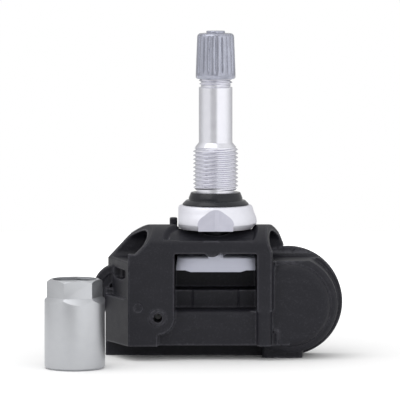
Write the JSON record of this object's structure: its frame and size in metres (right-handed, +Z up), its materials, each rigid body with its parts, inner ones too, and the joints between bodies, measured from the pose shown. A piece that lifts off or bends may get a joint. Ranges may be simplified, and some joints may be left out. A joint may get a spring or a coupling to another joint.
{
  "type": "tyre pressure sensor",
  "caption": "Clamp-in tyre pressure sensor: an angle-adjustable aluminium valve with screwed cap on a black moulded housing with a round battery drum, its retaining nut standing beside it.",
  "frame": {"origin": "on the underside of the base flange, below the valve's axis along X", "axes": "+Z up along the valve, +X along the housing towards the battery drum, -Y towards the pressure port"},
  "size_m": [0.0682, 0.0354, 0.0755],
  "materials": {
    "housing_plastic": "moulded glass-filled black plastic",
    "stem_aluminium": "turned satin",
    "bar_aluminium": "cast, lightly blasted",
    "nut_aluminium": "satin",
    "grommet_rubber": "smooth",
    "seal_rubber": "smooth",
    "cap_plastic": "smoky grey, glossy",
    "core_brass": "turned",
    "spring_steel": "drawn wire",
    "board_laminate": "solder mask",
    "cell_steel": "satin",
    "tab_nickel": "rolled strip",
    "chip_epoxy": "moulded epoxy",
    "filter_membrane": "expanded film",
    "ferrite": "sintered",
    "copper_wire": "enamelled",
    "crystal_can": "satin",
    "ceramic": "fired"
  },
  "bodies": {
    "root": {"housing": "housing_plastic", "rear_cover": "housing_plastic", "circuit_board": "board_laminate", "battery_cell": "cell_steel", "battery_tab_positive": "tab_nickel", "battery_tab_negative": "tab_nickel", "sensor_chip": "chip_epoxy", "port_seal": "seal_rubber", "port_filter": "filter_membrane", "coil_core": "ferrite", "coil_winding": "copper_wire", "crystal": "crystal_can", "transmit_antenna": "copper_wire", "board_passives": "ceramic", "stem_nut": "nut_aluminium"},
    "valve": {"valve_stem": "stem_aluminium", "clamp_bar": "bar_aluminium", "grommet": "grommet_rubber", "core_body": "core_brass", "core_barrel_seal": "seal_rubber", "core_spring": "spring_steel"},
    "pin": {"core_pin": "core_brass", "core_cup_seal": "seal_rubber"},
    "seal": {"cap_seal": "seal_rubber"},
    "cap": {"valve_cap": "cap_plastic"}
  },
  "joints": [
    {"name": "valve_tilt", "type": "hinge", "parent": "root", "child": "valve", "pos_m": [0, -0.0049, 0.016], "axis": [1, 0, 0], "range_deg": [-8, 8]},
    {"name": "core_press", "type": "slide", "parent": "valve", "child": "pin", "axis": [0, 0, -1], "range_m": [0, 0.0015], "stiffness_N_per_m": 1500, "springref_m": -0.001, "deforming": ["core_spring"]},
    {"name": "cap_lift", "type": "slide", "parent": "valve", "child": "seal", "axis": [0, 0, 1], "range_m": [0, 0.00834]},
    {"name": "cap_turn", "type": "hinge", "parent": "seal", "child": "cap", "pos_m": [0, -0.0049, 0.07], "axis": [0, 0, 1], "range_deg": [0, 3781]}
  ],
  "couplings": [
    {"joint": "cap_turn", "follows": "cap_lift", "rad_per_m": 7913.3}
  ]
}
